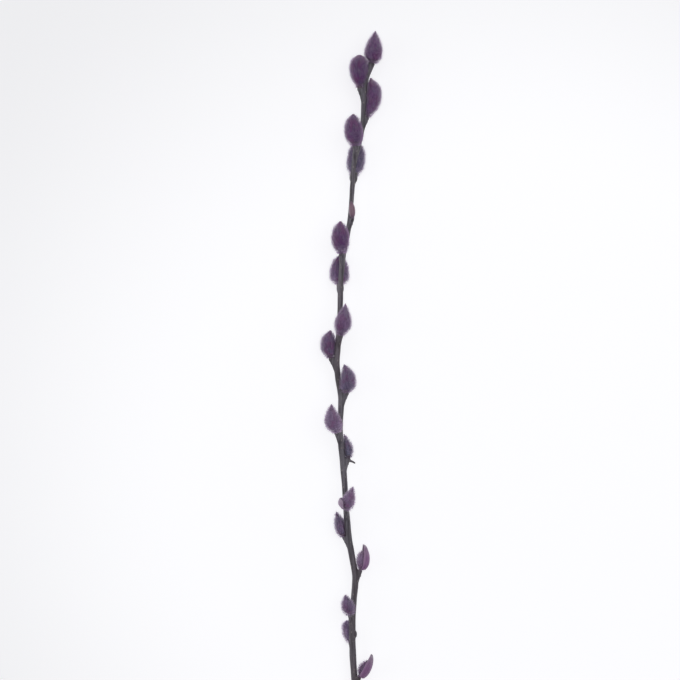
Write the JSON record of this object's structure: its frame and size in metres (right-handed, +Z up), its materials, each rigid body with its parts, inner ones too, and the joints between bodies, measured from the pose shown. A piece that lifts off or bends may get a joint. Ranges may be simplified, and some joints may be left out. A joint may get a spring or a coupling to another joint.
{
  "type": "willow twig with catkins",
  "caption": "Cut willow twig that lies on a surface: a slender, slightly wavy woody stem with silky plum catkins on short pegs, shut buds, papery bud scales and a slanted cut end.",
  "frame": {"origin": "centre of the twig's bounding box on the plane that it rests on", "axes": "+Y along the twig from its cut end to its tip, +Z up from the surface it lies on, +X to the right when it is looked down on with its tip at the top"},
  "size_m": [0.0261, 0.3367, 0.0148],
  "materials": {
    "bark": "smooth grey-brown young bark with fine lengthwise streaks, satin",
    "catkin": "dense silky hair over plum bracts, paler at the rim",
    "bud_scale": "dry papery scale, pale plum with a thin margin",
    "closed_bud": "smooth shut bud scale, pinkish brown, satin"
  },
  "bodies": {
    "root": {"bud_scale_14": "bud_scale", "bud_scale_16": "bud_scale", "bud_scale_19": "bud_scale", "bud_scale_20": "bud_scale", "catkin_01": "catkin", "catkin_02": "catkin", "catkin_03": "catkin", "catkin_04": "catkin", "catkin_05": "catkin", "catkin_07": "catkin", "catkin_08": "catkin", "catkin_09": "catkin", "catkin_10": "catkin", "catkin_11": "catkin", "catkin_12": "catkin", "catkin_13": "catkin", "catkin_14": "catkin", "catkin_15": "catkin", "catkin_16": "catkin", "catkin_17": "catkin", "catkin_18": "catkin", "catkin_19": "catkin", "catkin_20": "catkin", "catkin_21": "catkin", "closed_bud_06": "closed_bud", "closed_bud_22": "closed_bud", "stem": "bark"}
  },
  "joints": []
}
